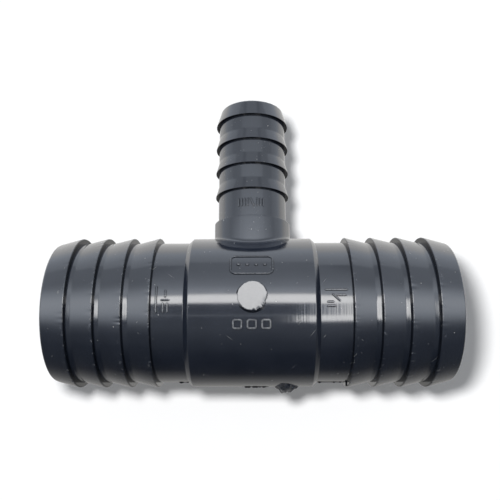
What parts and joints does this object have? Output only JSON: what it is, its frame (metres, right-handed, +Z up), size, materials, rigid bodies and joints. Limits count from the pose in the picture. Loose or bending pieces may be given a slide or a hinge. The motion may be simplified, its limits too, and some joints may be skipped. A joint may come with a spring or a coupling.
{
  "type": "barbed insert tee",
  "caption": "Rigid PVC insert tee with barbed spigots on both ends of the run and on a smaller side branch, for pushing into flexible irrigation pipe.",
  "frame": {"origin": "point where the run's axis and the branch's axis cross", "axes": "+X along the run, from the left spigot to the right one; +Y along the branch, away from the run; +Z up, square to both, towards the side with the moulded marks"},
  "size_m": [0.1098, 0.0851, 0.0424],
  "materials": {
    "moulded_pvc": "dark blue-grey moulded PVC, polished, lightly scratched and scuffed",
    "disc_face": "the same PVC with a flat, finely pitted satin face, which looks pale where it mirrors a lamp",
    "broken_pvc": "torn, uneven fracture face, slightly whitened"
  },
  "bodies": {
    "root": {"centre_sleeve": "moulded_pvc", "left_neck": "moulded_pvc", "left_barb_1": "moulded_pvc", "left_barb_2": "moulded_pvc", "left_barb_3": "moulded_pvc", "left_barb_4": "moulded_pvc", "right_neck": "moulded_pvc", "right_barb_1": "moulded_pvc", "right_barb_2": "moulded_pvc", "right_barb_3": "moulded_pvc", "right_barb_4": "moulded_pvc", "branch_collar": "moulded_pvc", "branch_neck": "moulded_pvc", "branch_barb_1": "moulded_pvc", "branch_barb_2": "moulded_pvc", "branch_barb_3": "moulded_pvc", "branch_barb_4": "moulded_pvc", "marking_disc": "disc_face", "label_frame": "moulded_pvc", "date_row": "moulded_pvc", "left_size_mark": "moulded_pvc", "right_size_mark": "moulded_pvc", "branch_size_mark": "moulded_pvc", "gate_stub": "broken_pvc", "parting_flash": "moulded_pvc"}
  },
  "joints": []
}
